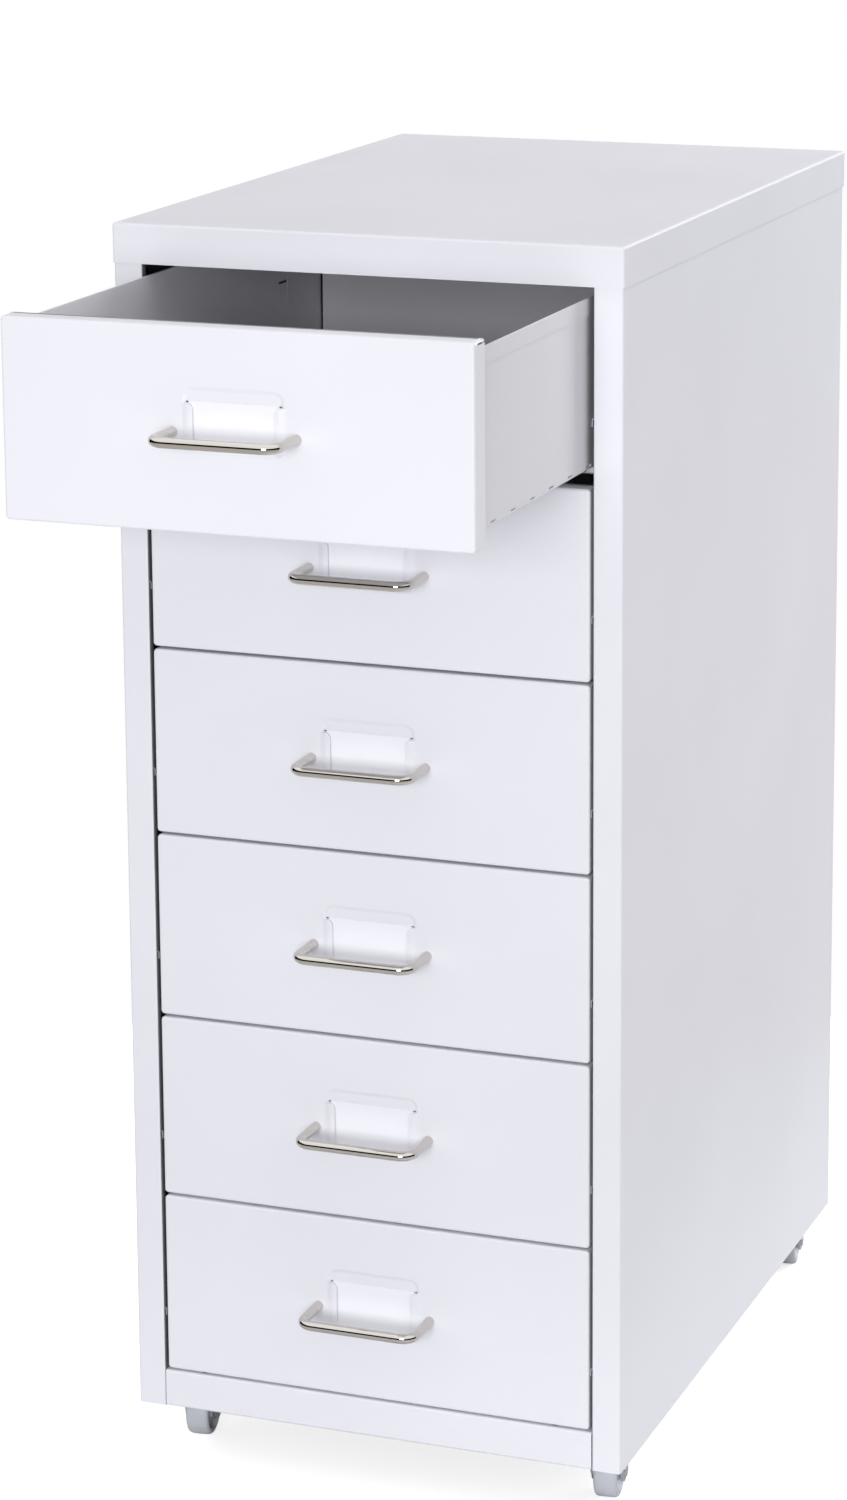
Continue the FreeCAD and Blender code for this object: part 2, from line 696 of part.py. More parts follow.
def make_handle_screws(number):
    """Two pan head screws, put in from behind the front sheet."""
    name = f"drawer_{number}_handle_screws"
    forward = FreeCAD.Rotation(FreeCAD.Vector(1, 0, 0), 90)
    height = f"{FRONT_MIDDLE} - handle_drop"
    screws = []
    for side, sign in (("left", -1), ("right", 1)):
        shank = rod(f"{name}_{side}_shank", "screw_wire / 2", "screw_depth - screw_tip + sheet", forward)
        place(shank, f"{sign} * handle_span / 2", "sheet", height)
        head = rod(f"{name}_{side}_head", "screw_wire", "screw_head", forward)
        place(head, f"{sign} * handle_span / 2", "sheet + screw_head", height)
        screws.append(joined(f"{name}_{side}", [shank, head]))
    return keep(drawer_place(gathered(name + "_pair", screws), number), name)


def make_card(number):
    """A paper card behind the holder's lips."""
    name = f"drawer_{number}_label_card"
    half = "(holder_width / 2 - holder_lip / 2)"
    card = block(name + "_sheet", f"-{half}", "holder_sink - card_play",
                 f"{FRONT_MIDDLE} - holder_foot + card_play",
                 f"2 * {half}", "card_sheet", "holder_foot - card_play + card_top")
    return keep(drawer_place(gathered(name + "_paper", [card]), number), name)


# ---------------------------------------------------------------- casters


def corner_of(sign_across, sign_along):
    return f"{sign_across} * caster_across / 2", f"{sign_along} * caster_along / 2"


def make_stem(name, corner):
    """The threaded stem with its top plate and the kingpin that carries the fork."""
    body = new_body(name)
    half = sketch_on(body, "XZ_Plane", name + "_half")
    rivet = "crown_base - race_gap"
    plate = "crown_base + crown_sheet + race_gap"
    collar = "kingpin_wire / 2 + rivet_lip"
    outline(half, [
        ("0", f"{rivet} - rivet_rise"),
        (collar, f"{rivet} - rivet_rise"),
        (collar, rivet),
        ("kingpin_wire / 2", rivet),
        ("kingpin_wire / 2", plate),
        ("crown_radius + plate_lip", plate),
        ("crown_radius + plate_lip", "pan_height"),
        ("stem_wire / 2", "pan_height"),
        ("stem_wire / 2", "stem_top"),
        ("0", "stem_top"),
    ])
    turned = body.newObject("PartDesign::Revolution", name + "_turned")
    turned.Profile = half
    turned.ReferenceAxis = (half, ["V_Axis"])
    turned.Angle = 360
    doc.recompute()
    return keep(place(body, *corner), name)


def make_fork(name, corner):
    """The pressed fork: a round crown and two legs that reach back to the axle."""
    body = new_body(name)
    crown = sketch_on(body, "XY_Plane", name + "_crown", "crown_base")
    circle(crown, "0", "0", "crown_radius")
    pad(body, crown, "crown_sheet")
    legs = sketch_on(body, "YZ_Plane", name + "_legs")
    top = "crown_base + crown_sheet"
    outline(legs, [
        ("-fork_front", top),
        ("-fork_front", "crown_base - fork_knee"),
        ("trail - fork_boss", "wheel_radius + fork_boss / 2"),
        ("trail - fork_boss", "wheel_radius - fork_boss"),
        ("trail + fork_boss", "wheel_radius - fork_boss"),
        ("trail + fork_boss", "wheel_radius + fork_boss"),
        ("fork_back", "crown_base - fork_knee"),
        ("fork_back", top),
    ])
    pad(body, legs, "fork_gap + 2 * fork_sheet", middle=True)
    foot = length_of("wheel_radius - fork_boss")
    toe, heel = length_of("trail - fork_boss"), length_of("trail + fork_boss")

    def foot_corner(point):
        return near(point.z, foot) and (near(point.y, toe) or near(point.y, heel))

    fillet(body, "fork_foot", foot_corner)
    gap = sketch_on(body, "XZ_Plane", name + "_gap")
    rectangle(gap, "-fork_gap / 2", "fork_gap / 2", "0", "crown_base")
    pocket(body, gap, middle=True)
    eye = sketch_on(body, "YZ_Plane", name + "_eye")
    circle(eye, "trail", "wheel_radius", "axle_wire / 2")
    pocket(body, eye, middle=True)
    pin_hole = sketch_on(body, "XY_Plane", name + "_pin_hole", "crown_base - crown_sheet")
    circle(pin_hole, "0", "0", "kingpin_wire / 2 + running_fit")
    pocket(body, pin_hole, backwards=True)
    place(body, *corner)
    body.setExpression("Placement.Rotation.Angle", bound("caster_turn * 1 deg"))
    return keep(body, name)


def turned_place(thing, corner):
    """Put a piece on the wheel's axle line, which stands turned with its caster."""
    across, along = corner
    place(thing, f"{across} - trail * sin(caster_turn * 1 deg)",
          f"{along} + trail * cos(caster_turn * 1 deg)", "wheel_radius")
    return thing


def make_wheel(name, corner):
    """A moulded wheel with a dished side, a raised hub and a rounded tread."""
    body = new_body(name)
    section = sketch_on(body, "XZ_Plane", name + "_section")
    half = "wheel_width / 2"
    bore = "axle_wire / 2 + running_fit"
    outline(section, [
        (f"-{half}", bore),
        (half, bore),
        (half, "hub_radius"),
        (f"{half} - dish_depth", "dish_inside"),
        (f"{half} - dish_depth", "dish_outside"),
        (half, "rim_inside"),
        (half, "wheel_radius"),
        (f"-{half}", "wheel_radius"),
        (f"-{half}", "rim_inside"),
        (f"-{half} + dish_depth", "dish_outside"),
        (f"-{half} + dish_depth", "dish_inside"),
        (f"-{half}", "hub_radius"),
    ])
    turned = body.newObject("PartDesign::Revolution", name + "_turned")
    turned.Profile = section
    turned.ReferenceAxis = (section, ["H_Axis"])
    turned.Angle = 360
    doc.recompute()
    side = length_of(half)
    tread = length_of("wheel_radius")

    def shoulder(point):
        return near(abs(point.x), side) and near(math.hypot(point.y, point.z), tread)

    fillet(body, "tread_round", shoulder)
    turned_place(body, corner)
    body.setExpression("Placement.Rotation.Angle", bound("caster_turn * 1 deg"))
    return keep(body, name)


def make_axle(name, corner):
    """The rivet that holds the wheel in the fork."""
    body = new_body(name)
    section = sketch_on(body, "XZ_Plane", name + "_section")
    outer = "(fork_gap / 2 + fork_sheet)"
    outline(section, [
        (f"-{outer} - axle_head", "0"),
        (f"{outer} + axle_head", "0"),
        (f"{outer} + axle_head", "axle_wire / 2 + head_edge"),
        (outer, "axle_wire / 2 + head_rim"),
        (outer, "axle_wire / 2"),
        (f"-{outer}", "axle_wire / 2"),
        (f"-{outer}", "axle_wire / 2 + head_rim"),
        (f"-{outer} - axle_head", "axle_wire / 2 + head_edge"),
    ])
    turned = body.newObject("PartDesign::Revolution", name + "_turned")
    turned.Profile = section
    turned.ReferenceAxis = (section, ["H_Axis"])
    turned.Angle = 360
    doc.recompute()
    turned_place(body, corner)
    body.setExpression("Placement.Rotation.Angle", bound("caster_turn * 1 deg"))
    return keep(body, name)


def make_nuts(corners):
    """One hexagon nut on each stem, above the base pan."""
    nuts = []
    for number, corner in enumerate(corners):
        blank = doc.addObject("Part::Prism", f"nut_{number}_blank")
        blank.Polygon = 6
        blank.setExpression("Circumradius", bound("nut_radius"))
        blank.setExpression("Height", bound("nut_height"))
        hole = rod(f"nut_{number}_hole", "stem_wire / 2", "nut_height")
        nut = doc.addObject("Part::Cut", f"nut_{number}")
        nut.Base = blank
        nut.Tool = hole
        place(nut, *corner, "pan_height + pan_sheet")
        nuts.append(nut)
    return keep(gathered("nuts_group", nuts), "caster_nuts")


# ---------------------------------------------------------------- assembly

make_top_cover()
make_side_panel("left_side_panel", -1)
make_side_panel("right_side_panel", 1)
make_back_panel()
make_plinth_rail()
make_base_pan()
make_runners("left_runners", -1)
make_runners("right_runners", 1)
make_glides()
make_buffers()

for drawer in range(1, DRAWERS + 1):
    make_drawer_front(drawer)
    make_drawer_tray(drawer)
    make_handle(drawer)
    make_handle_screws(drawer)
    make_card(drawer)

CORNERS = {
    "front_left": corner_of(-1, -1),
    "front_right": corner_of(1, -1),
    "rear_left": corner_of(-1, 1),
    "rear_right": corner_of(1, 1),
}
for where, spot in CORNERS.items():
    make_stem(f"{where}_caster_stem", spot)
    make_fork(f"{where}_caster_fork", spot)
    make_wheel(f"{where}_caster_wheel", spot)
    make_axle(f"{where}_caster_axle", spot)
make_nuts(list(CORNERS.values()))

doc.recompute()

# ---------------------------------------------------------------- checks and files

for thing in doc.Objects:
    if "Invalid" in thing.State or "Error" in thing.State:
        raise RuntimeError(f"{thing.Name} did not build: {thing.State}")
for thing in KEPT:
    if thing.Shape.isNull() or not thing.Shape.isValid():
        raise RuntimeError(f"{thing.Label} has no valid shape")

os.makedirs("parts", exist_ok=True)
for thing in KEPT:
    thing.Shape.exportStep(f"parts/{thing.Label}.step")
    box = thing.Shape.BoundBox
    print(f"{thing.Label}: {len(thing.Shape.Solids)} solid(s), {thing.Shape.Volume:.0f} mm3,",
          f"x {box.XMin:.1f}..{box.XMax:.1f}, y {box.YMin:.1f}..{box.YMax:.1f},",
          f"z {box.ZMin:.1f}..{box.ZMax:.1f}")
print(len(KEPT), "nodes")
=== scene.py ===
import json
import math

import bmesh
import bpy
from mathutils import Matrix, Vector


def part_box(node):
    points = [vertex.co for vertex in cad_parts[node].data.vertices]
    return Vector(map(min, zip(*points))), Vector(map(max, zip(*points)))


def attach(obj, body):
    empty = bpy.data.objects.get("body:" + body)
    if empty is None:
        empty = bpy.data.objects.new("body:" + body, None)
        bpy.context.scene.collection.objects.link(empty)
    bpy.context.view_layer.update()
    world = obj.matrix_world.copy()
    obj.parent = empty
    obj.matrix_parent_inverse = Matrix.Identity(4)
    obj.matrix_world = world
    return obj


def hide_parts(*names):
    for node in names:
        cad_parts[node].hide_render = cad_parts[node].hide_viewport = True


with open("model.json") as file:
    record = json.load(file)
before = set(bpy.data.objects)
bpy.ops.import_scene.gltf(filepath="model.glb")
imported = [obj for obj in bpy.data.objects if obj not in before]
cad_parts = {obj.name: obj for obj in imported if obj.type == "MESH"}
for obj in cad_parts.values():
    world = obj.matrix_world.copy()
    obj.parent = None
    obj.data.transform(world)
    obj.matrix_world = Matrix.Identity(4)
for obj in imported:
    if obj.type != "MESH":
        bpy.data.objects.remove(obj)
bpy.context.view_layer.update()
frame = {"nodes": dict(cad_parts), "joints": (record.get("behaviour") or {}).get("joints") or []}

# ---------------------------------------------------------------- camera
# A long lens at eye height beside a low cabinet: it stands to the cabinet's right and looks
# slightly down, with the lens shifted like a view camera's so that the uprights stay upright.

CAMERA_PLACE = Vector((0.7758, -2.1442, 0.9863))
CAMERA_AZIMUTH = math.radians(20.13)
CAMERA_ELEVATION = math.radians(11.99)
CAMERA_ROLL = math.radians(-0.23)

camera_data = bpy.data.cameras.new("studio_camera")
camera_data.sensor_width = 36.0
camera_data.lens = 99.4
camera_data.shift_x = -0.0413
camera_data.shift_y = -0.1556
camera_data.clip_start = 0.05
camera_data.clip_end = 50.0
camera = bpy.data.objects.new("studio_camera", camera_data)
bpy.context.collection.objects.link(camera)
backwards = Vector((
    math.sin(CAMERA_AZIMUTH) * math.cos(CAMERA_ELEVATION),
    -math.cos(CAMERA_AZIMUTH) * math.cos(CAMERA_ELEVATION),
    math.sin(CAMERA_ELEVATION),
))
aim = (-backwards).to_track_quat("-Z", "Y").to_matrix().to_4x4()
camera.matrix_world = Matrix.Translation(CAMERA_PLACE) @ aim @ Matrix.Rotation(CAMERA_ROLL, 4, "Z")
bpy.context.scene.camera = camera


# ---------------------------------------------------------------- studio
# A white table in a pale room, with softboxes low beside the camera, behind at the right, and
# overhead. Bright metal mirrors white panels above and below a dark gap instead, which draws
# the thin black line along it.

TABLE_REACH = 0.65
TABLE_SIDES = 64
ROOM_GLOW = 0.85
MIRROR_GLOW = 1.25
TABLE_GLOW = 0.7


def linear(hex_colour):
    """Linear colour with full alpha, from an sRGB hex value."""
    channels = [int(hex_colour[i:i + 2], 16) / 255 for i in (1, 3, 5)]
    return tuple(c / 12.92 if c <= 0.04045 else ((c + 0.055) / 1.055) ** 2.4 for c in channels) + (1.0,)


def add_node(tree, kind, settings=None, links=None):
    """Add one node, set its sockets or properties by name, and link its inputs."""
    node = tree.nodes.new(kind)
    for name, value in (settings or {}).items():
        if name in node.inputs:
            node.inputs[name].default_value = value
        else:
            setattr(node, name, value)
    for name, source in (links or {}).items():
        tree.links.new(source, node.inputs[name])
    return node


def set_ramp(node, *stops):
    """Give a colour ramp its stops, each a position and a hex colour."""
    elements = node.color_ramp.elements
    while len(elements) < len(stops):
        elements.new(1.0)
    for element, (position, tone) in zip(elements, stops):
        element.position = position
        element.color = linear(tone)
    return node.outputs["Color"]


def new_material(name):
    """An empty material with its shader, ready for its nodes."""
    material = bpy.data.materials.new(name)
    material.use_nodes = True
    return material, material.node_tree, material.node_tree.nodes["Principled BSDF"]


bpy.context.scene.view_settings.view_transform = "Standard"

world = bpy.data.worlds.new("studio_world")
bpy.context.scene.world = world
world.use_nodes = True
sky = world.node_tree
sky.nodes.clear()
direction = add_node(sky, "ShaderNodeTexCoord")
height = add_node(sky, "ShaderNodeSeparateXYZ", links={"Vector": direction.outputs["Generated"]})
level = add_node(sky, "ShaderNodeMapRange", {"From Min": -1.0}, {"Value": height.outputs["Z"]})
bands = add_node(sky, "ShaderNodeValToRGB", links={"Fac": level.outputs["Result"]})
set_ramp(bands, (0.3, "#ffffff"), (0.37, "#242427"), (0.6, "#242427"), (0.68, "#f2f2f2"))
panels = add_node(sky, "ShaderNodeValToRGB", links={"Fac": level.outputs["Result"]})
set_ramp(panels, (0.39, "#bdb9b4"), (0.42, "#020202"), (0.65, "#020202"), (0.68, "#ffffff"))
rays = add_node(sky, "ShaderNodeLightPath")
room = add_node(sky, "ShaderNodeBackground", {"Strength": ROOM_GLOW}, {"Color": bands.outputs["Color"]})
mirrored = add_node(
    sky, "ShaderNodeBackground", {"Strength": MIRROR_GLOW}, {"Color": panels.outputs["Color"]}
)
backdrop = add_node(sky, "ShaderNodeBackground", {"Color": linear("#ffffff"), "Strength": 1.0})
shown = room
for test, other in (("Is Glossy Ray", mirrored), ("Is Camera Ray", backdrop)):
    choice = add_node(sky, "ShaderNodeMixShader", links={"Fac": rays.outputs[test]})
    sky.links.new(shown.outputs[0], choice.inputs[1])
    sky.links.new(other.outputs[0], choice.inputs[2])
    shown = choice
add_node(sky, "ShaderNodeOutputWorld", links={"Surface": shown.outputs[0]})


def softbox(name, place, target, width, height, watts):
    """One softbox, facing its target."""
    light = bpy.data.lights.new(name, "AREA")
    light.shape = "RECTANGLE"
    light.size = width
    light.size_y = height
    light.energy = watts
    light.color = linear("#fbfbff")[:3]
    lamp = bpy.data.objects.new(name, light)
    bpy.context.collection.objects.link(lamp)
    lamp.location = place
    lamp.rotation_euler = (Vector(target) - Vector(place)).to_track_quat("-Z", "Y").to_euler()


softbox("low_softbox", (0.55, -3.3, 0.95), (0, 0, 0.4), 1.3, 1.0, 60)
softbox("right_softbox", (1.9, 2.4, 1.7), (0, 0, 0.45), 1.6, 1.6, 66)
softbox("top_softbox", (0.0, -0.2, 3.2), (0, 0, 0.3), 2.6, 2.6, 1)

turns = [math.tau * step / TABLE_SIDES for step in range(TABLE_SIDES)]
table_top = [(TABLE_REACH * math.cos(turn), TABLE_REACH * math.sin(turn), 0) for turn in turns]
floor_mesh = bpy.data.meshes.new("floor")
floor_mesh.from_pydata(table_top, [], [tuple(range(TABLE_SIDES))])
floor = bpy.data.objects.new("floor", floor_mesh)
bpy.context.collection.objects.link(floor)
# Matt white board, which glows for the camera alone so that it fades into the backdrop.
floor_paint, tree, shader = new_material("white studio floor")
shader.inputs["Base Color"].default_value = linear("#dcdcdc")
shader.inputs["Roughness"].default_value = 0.9
shader.inputs["Emission Color"].default_value = linear("#ffffff")
seen_white = add_node(tree, "ShaderNodeLightPath")
glow = add_node(tree, "ShaderNodeMath", {"operation": "MULTIPLY"}, {0: seen_white.outputs["Is Camera Ray"]})
glow.inputs[1].default_value = TABLE_GLOW
tree.links.new(glow.outputs["Value"], shader.inputs["Emission Strength"])
floor_mesh.materials.append(floor_paint)


# ---------------------------------------------------------------- top cover
# The top of the carcass: one sheet of steel folded down on four sides into a shallow tray,
# with soft folds, dropped over the side panels and the back. Polyester powder coat, sprayed
# and baked: a bluish white with a soft sheen and a fine orange peel.

MM = 0.001
SHEET = 0.6
SHARP_EDGE = math.radians(35)
FOLD_STEPS = 6


def box_of(node):
    """Lowest and highest corner of a CAD node, in millimetres."""
    low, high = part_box(node)
    return low / MM, high / MM


def new_piece(name, points, faces, material, solid=False):
    """A mesh piece from points in millimetres, smooth between its sharp edges."""
    mesh = bpy.data.meshes.new(name)
    mesh.from_pydata([Vector(point) * MM for point in points], [], faces)
    if solid:
        shape = bmesh.new()
        shape.from_mesh(mesh)
        bmesh.ops.recalc_face_normals(shape, faces=shape.faces)
        shape.to_mesh(mesh)
        shape.free()
    mesh.materials.append(material)
    mesh.shade_smooth()
    mesh.set_sharp_from_angle(angle=SHARP_EDGE)
    piece = bpy.data.objects.new(name, mesh)
    bpy.context.collection.objects.link(piece)
    return piece


def even_shading(piece):
    """Let the large flat faces rule the normals, as they do on folded sheet."""
    weights = piece.modifiers.new("even_shading", "WEIGHTED_NORMAL")
    weights.keep_sharp = True
    return piece


def mount_piece(piece, body, *nodes):
    """Fix a piece to its body in place of the CAD nodes that it stands for."""
    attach(piece, body)
    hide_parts(*nodes)
    return piece


def rounded_loop(left, right, low, high, radius, steps=FOLD_STEPS):
    """A rounded rectangle, anticlockwise from the lower right corner."""
    corners = (
        (right - radius, low + radius, -90),
        (right - radius, high - radius, 0),
        (left + radius, high - radius, 90),
        (left + radius, low + radius, 180),
    )
    loop = []
    for across, along, start in corners:
        for step in range(steps + 1):
            angle = math.radians(start + 90 * step / steps)
            loop.append((across + radius * math.cos(angle), along + radius * math.sin(angle)))
    return loop


def skin(loops):
    """Points and faces of a sheet drawn through loops of equal length, closed at the last."""
    count = len(loops[0])
    points = [point for loop in loops for point in loop]
    faces = []
    for ring in range(len(loops) - 1):
        for index in range(count):
            after = (index + 1) % count
            faces.append((
                ring * count + index,
                ring * count + after,
                (ring + 1) * count + after,
                (ring + 1) * count + index,
            ))
    faces.append(tuple((len(loops) - 1) * count + index for index in range(count)))
    return points, faces


def thicken(piece, inside=None):
    """Give a skin the thickness of its sheet, inwards, with a material for the inner face."""
    metal = piece.modifiers.new("sheet", "SOLIDIFY")
    metal.thickness = SHEET * MM
    metal.offset = -1
    metal.use_even_offset = True
    if inside:
        piece.data.materials.append(inside)
        metal.material_offset = 1
    return even_shading(piece)


ORANGE_PEEL = 3.2


def powder_coat(name, tone, shade):
    """Baked powder: the orange peel's grain of 1.6 mm is drawn twice as coarse as it is."""
    material, tree, shader = new_material(name)
    place = add_node(tree, "ShaderNodeTexCoord")
    drift = add_node(
        tree, "ShaderNodeTexNoise", {"Scale": 7.0, "Detail": 2.0}, {"Vector": place.outputs["Object"]}
    )
    colour = add_node(tree, "ShaderNodeValToRGB", links={"Fac": drift.outputs["Fac"]})
    colour.color_ramp.elements[0].position = 0.3
    colour.color_ramp.elements[0].color = linear(shade)
    colour.color_ramp.elements[1].position = 0.7
    colour.color_ramp.elements[1].color = linear(tone)
    tree.links.new(colour.outputs["Color"], shader.inputs["Base Color"])
    grain = add_node(
        tree, "ShaderNodeTexNoise", {"Scale": 1 / (ORANGE_PEEL * MM), "Detail": 3.0},
        {"Vector": place.outputs["Object"]}
    )
    gloss = add_node(
        tree, "ShaderNodeMapRange", {"To Min": 0.36, "To Max": 0.48}, {"Value": grain.outputs["Fac"]}
    )
    tree.links.new(gloss.outputs["Result"], shader.inputs["Roughness"])
    relief = add_node(
        tree, "ShaderNodeBump", {"Strength": 0.06, "Distance": 0.0004}, {"Height": grain.outputs["Fac"]}
    )
    tree.links.new(relief.outputs["Normal"], shader.inputs["Normal"])
    return material


white_coat = powder_coat("white polyester powder coat", "#ebebf1", "#e7e7ed")
# Painted shade: a dark grey coat for the inside faces of the closed box, where shade falls.
dark_inside_painted_shade = powder_coat("dark inside coat as painted shade", "#77777b", "#6c6c70")

COVER_FOLD = 1.5
# A corner's radius shrinks by this share of the inset as the fold rolls over it.
CORNER_SHRINK = 0.9
low, high = box_of("top_cover")
loops = [[(x, y, low.z) for x, y in rounded_loop(low.x, high.x, low.y, high.y, COVER_FOLD)]]
for step in range(FOLD_STEPS + 1):
    angle = math.radians(90 * step / FOLD_STEPS)
    inset = COVER_FOLD * (1 - math.cos(angle))
    level = high.z - COVER_FOLD * (1 - math.sin(angle))
    ring = rounded_loop(
        low.x + inset, high.x - inset, low.y + inset, high.y - inset, COVER_FOLD - CORNER_SHRINK * inset
    )
    loops.append([(x, y, level) for x, y in ring])
cover = new_piece("folded_top_cover", *skin(loops), white_coat)
# The cover's inner face takes the dark grey coat, painted shade.
mount_piece(thicken(cover, dark_inside_painted_shade), "carcass", "top_cover")


# ---------------------------------------------------------------- side panels
# Each side is one sheet: folded round the front into the flat post beside the drawers, with
# a narrow lip behind it, and round the back into the flange that carries the back panel.

FRONT_FOLD = 1.4
REAR_FOLD = 2.5
POST = 16.0
POST_LIP = 4.0
BACK_FLANGE = 15.0


def folded(corners, bends, sheet=SHEET):
    """Face and back of a folded section; the metal lies to the left of its corners."""
    path = [Vector(corner) for corner in corners]
    face, back = [], []
    for index, corner in enumerate(path):
        if index in (0, len(path) - 1):
            run = path[1] - path[0] if index == 0 else path[-1] - path[-2]
            side = Vector((-run.y, run.x)).normalized()
            face.append(corner.copy())
            back.append(corner + side * sheet)
            continue
        before = (corner - path[index - 1]).normalized()
        after = (path[index + 1] - corner).normalized()
        side_before = Vector((-before.y, before.x))
        side_after = Vector((-after.y, after.x))
        turn = before.x * after.y - before.y * after.x
        outer = bends[index - 1]
        face_radius, back_radius = (outer, outer - sheet) if turn > 0 else (outer - sheet, outer)
        lean = 1 if turn > 0 else -1
        centre = corner + lean * (side_before + side_after) * face_radius / (1 + before.dot(after))
        for step in range(FOLD_STEPS + 1):
            spoke = side_before.lerp(side_after, step / FOLD_STEPS).normalized()
            face.append(centre - lean * spoke * face_radius)
            back.append(centre - lean * spoke * back_radius)
    return face, back


def strip(section, low, high, to_space):
    """Points and faces of a folded section drawn out from low to high."""
    count = len(section[0])
    points = [to_space(point, level) for level in (low, high) for side in section for point in side]

    def spot(end, side, index):
        return (end * 2 + side) * count + index

    faces = []
    for index in range(count - 1):
        for side in (0, 1):
            faces.append((
                spot(0, side, index), spot(0, side, index + 1), spot(1, side, index + 1), spot(1, side, index)
            ))
        for end in (0, 1):
            faces.append((
                spot(end, 0, index), spot(end, 0, index + 1), spot(end, 1, index + 1), spot(end, 1, index)
            ))
    for index in (0, count - 1):
        faces.append((spot(0, 0, index), spot(0, 1, index), spot(1, 1, index), spot(1, 0, index)))
    return points, faces


def together(parts):
    """Several sets of points and faces as one."""
    points, faces = [], []
    for more_points, more_faces in parts:
        start = len(points)
        points += more_points
        faces += [tuple(start + index for index in face) for face in more_faces]
    return points, faces


def upright(point, level):
    """A section seen from above, drawn out along Z."""
    return (point.x, point.y, level)


for side, node in ((-1, "left_side_panel"), (1, "right_side_panel")):
    low, high = box_of(node)
    outside = high.x if side > 0 else low.x
    post_inside = outside - side * POST
    flange_inside = outside - side * BACK_FLANGE
    corners = [
        (post_inside, low.y + POST_LIP),
        (post_inside, low.y),
        (outside, low.y),
        (outside, high.y),
        (flange_inside, high.y),
    ]
    bends = [FRONT_FOLD, FRONT_FOLD, REAR_FOLD]
    if side < 0:
        corners.reverse()
        bends.reverse()
    shape = strip(folded(corners, bends), low.z, high.z, upright)
    panel = new_piece("folded_" + node, *shape, white_coat, solid=True)
    # Faces inside the box take the dark grey coat, painted shade.
    panel.data.materials.append(dark_inside_painted_shade)
    for face in panel.data.polygons:
        across, along = abs(face.center.x) / MM, face.center.y / MM
        within = across < abs(outside) - SHEET / 2 and low.y + SHEET / 2 < along < high.y - SHEET / 2
        if within:
            face.material_index = 1
    mount_piece(even_shading(panel), "carcass", node)


# ---------------------------------------------------------------- plinth rail
# The low channel between the posts, under the bottom drawer, folded back at top and bottom.

def along_x(point, level):
    """A section seen from the side, drawn out along X."""
    return (level, point.x, point.y)


RAIL_FOOT_SHORT = 2
low, high = box_of("plinth_rail")
rail_line = [(high.y, high.z), (low.y, high.z), (low.y, low.z), (high.y - RAIL_FOOT_SHORT, low.z)]
shape = strip(folded(rail_line, [FRONT_FOLD, FRONT_FOLD]), low.x, high.x, along_x)
rail = new_piece("folded_plinth_rail", *shape, white_coat, solid=True)
mount_piece(even_shading(rail), "carcass", "plinth_rail")


# ---------------------------------------------------------------- back panel and base pan
# Flat sheets spot-welded inside the folds and coated with the rest. The pan lies inside and
# takes the dark grey coat, painted shade. The CAD shapes are right as they are, and get a hair
# of a radius on their cut edges.

def soften(node, width, material):
    """Break a CAD node's edges and give it its finish."""
    thing = frame["nodes"][node]
    edge = thing.modifiers.new("broken_edges", "BEVEL")
    edge.width = width * MM
    edge.segments = 2
    edge.limit_method = "ANGLE"
    edge.angle_limit = math.radians(40)
    edge.harden_normals = True
    thing.data.materials.clear()
    thing.data.materials.append(material)
    return thing


soften("back_panel", 0.15, white_coat)
# The base pan's dark grey coat is painted shade.
soften("base_pan", 0.2, dark_inside_painted_shade)


# ---------------------------------------------------------------- runners, glides, buffers
# Six channels on each side, rolled from bright zinc plated strip and welded to the panels:
# zinc shows a cool grey with a cloudy spangle. White nylon glides sit on their front ends,
# and two black rubber buttons on the plinth rail stop the bottom drawer from rattling.

RUNNER_FOLD = 1.3
RUNNER_HEIGHT = 31.4
RUNNER_TOP_FOLD = 16.5
RUNNER_CURL = 4.5
RUNNER_NOSE = 10.8
# The curled nose is drawn on to the mouth of the slot, where it just shows beside the post.
NOSE_PROUD = 3.2
DRAWER_PITCH = 102


def zinc_plate(name, tone, rough):
    """Electroplated zinc, dull bright; its clouds are about 5 mm across."""
    material, tree, shader = new_material(name)
    place = add_node(tree, "ShaderNodeTexCoord")
    clouds = add_node(
        tree, "ShaderNodeTexNoise", {"Scale": 200.0, "Detail": 4.0}, {"Vector": place.outputs["Object"]}
    )
    gloss = add_node(
        tree, "ShaderNodeMapRange", {"To Min": rough - 0.08, "To Max": rough + 0.08},
        {"Value": clouds.outputs["Fac"]}
    )
    tree.links.new(gloss.outputs["Result"], shader.inputs["Roughness"])
    shader.inputs["Base Color"].default_value = linear(tone)
    shader.inputs["Metallic"].default_value = 1.0
    relief = add_node(
        tree, "ShaderNodeBump", {"Strength": 0.05, "Distance": 0.0002}, {"Height": clouds.outputs["Fac"]}
    )
    tree.links.new(relief.outputs["Normal"], shader.inputs["Normal"])
    return material


bright_zinc = zinc_plate("zinc plated steel", "#c4c6ca", 0.3)


def along_y(point, level):
    """A section seen from the front, drawn out along Y."""
    return (point.x, level, point.y)


for side, node in ((-1, "left_runners"), (1, "right_runners")):
    low, high = box_of(node)
    wall = high.x if side > 0 else low.x
    shelf = low.x if side > 0 else high.x
    curl = wall - side * RUNNER_TOP_FOLD
    channels = []
    for number in range(6):
        foot = low.z + DRAWER_PITCH * number
        head = foot + RUNNER_HEIGHT
        corners = [(shelf, foot), (wall, foot), (wall, head), (curl, head), (curl, head - RUNNER_CURL)]
        nose = corners[2:]
        if side < 0:
            corners.reverse()
            nose.reverse()
        section = folded(corners, [RUNNER_FOLD] * 3)
        channels.append(strip(section, low.y + RUNNER_NOSE, high.y, along_y))
        channels.append(strip(folded(nose, [RUNNER_FOLD]), low.y - NOSE_PROUD, low.y + RUNNER_NOSE, along_y))
    runner = new_piece(node + "_channels", *together(channels), bright_zinc, solid=True)
    mount_piece(even_shading(runner), "carcass", node)


MOULD_GRAIN = 0.6


